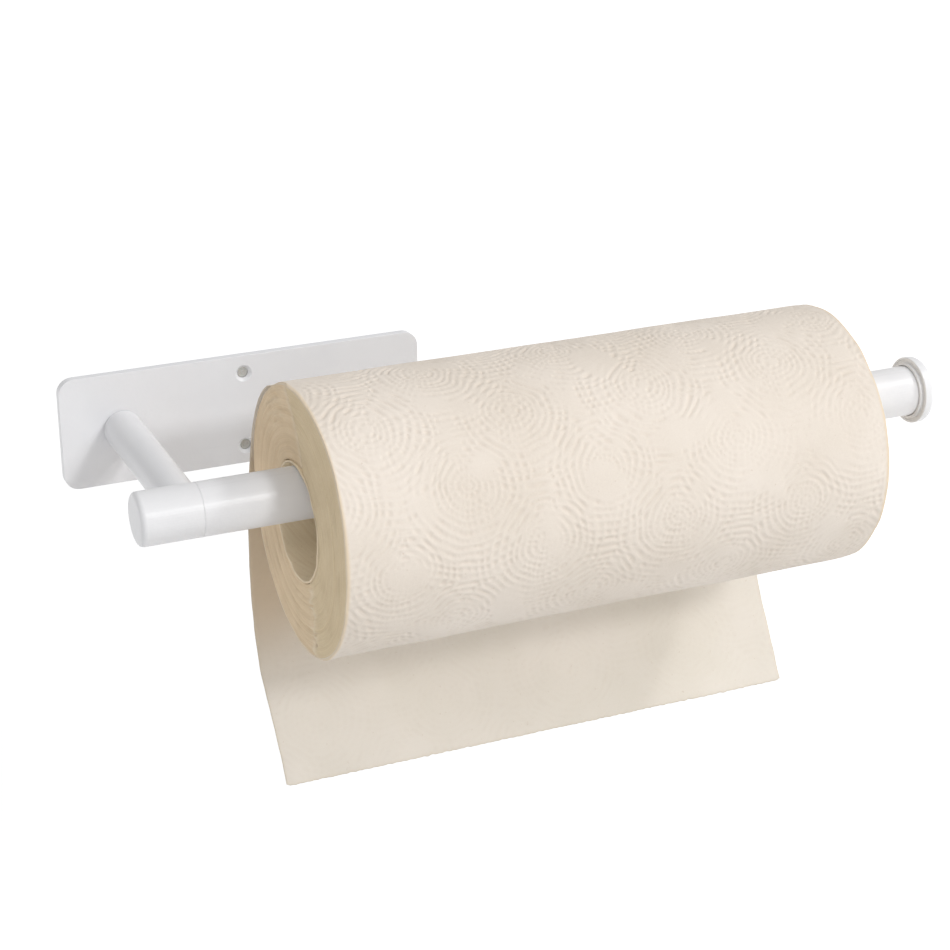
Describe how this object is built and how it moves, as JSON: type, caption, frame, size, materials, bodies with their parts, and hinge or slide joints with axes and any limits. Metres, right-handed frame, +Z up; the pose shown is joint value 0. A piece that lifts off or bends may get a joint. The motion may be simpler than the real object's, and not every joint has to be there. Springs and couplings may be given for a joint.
{
  "type": "paper towel holder",
  "caption": "Wall-mounted paper towel holder: a flat plate and one round arm carry a horizontal rod with an end stop, holding a paper roll with a loose hanging sheet.",
  "frame": {"origin": "centre of the back plate's rear face, on the wall", "axes": "+X along the rod from the arm towards the end stop, +Y into the wall, +Z up"},
  "size_m": [0.3295, 0.1408, 0.1718],
  "materials": {
    "white_coat": "satin",
    "zinc": "satin",
    "nylon": "matte",
    "board": "matte",
    "roll_paper": "matte",
    "sheet_paper": "matte"
  },
  "bodies": {
    "holder": {"back_plate": "white_coat", "arm_screw": "zinc", "arm_dowel": "zinc", "support_arm": "white_coat", "hub_stud": "zinc", "rod_hub": "white_coat", "rod_tube": "white_coat", "tube_insert": "nylon", "end_stop": "white_coat"},
    "loose_sheet": {"hanging_sheet": "sheet_paper"},
    "roll": {"roll_core": "board", "paper_roll": "roll_paper"}
  },
  "joints": [
    {"name": "roll_slide", "type": "slide", "parent": "holder", "child": "loose_sheet", "axis": [1, 0, 0], "range_m": [-0.032, 0.039]},
    {"name": "roll_spin", "type": "hinge", "parent": "loose_sheet", "child": "roll", "pos_m": [0.1008, -0.0895, -0.0114], "axis": [1, 0, 0], "continuous": true}
  ]
}
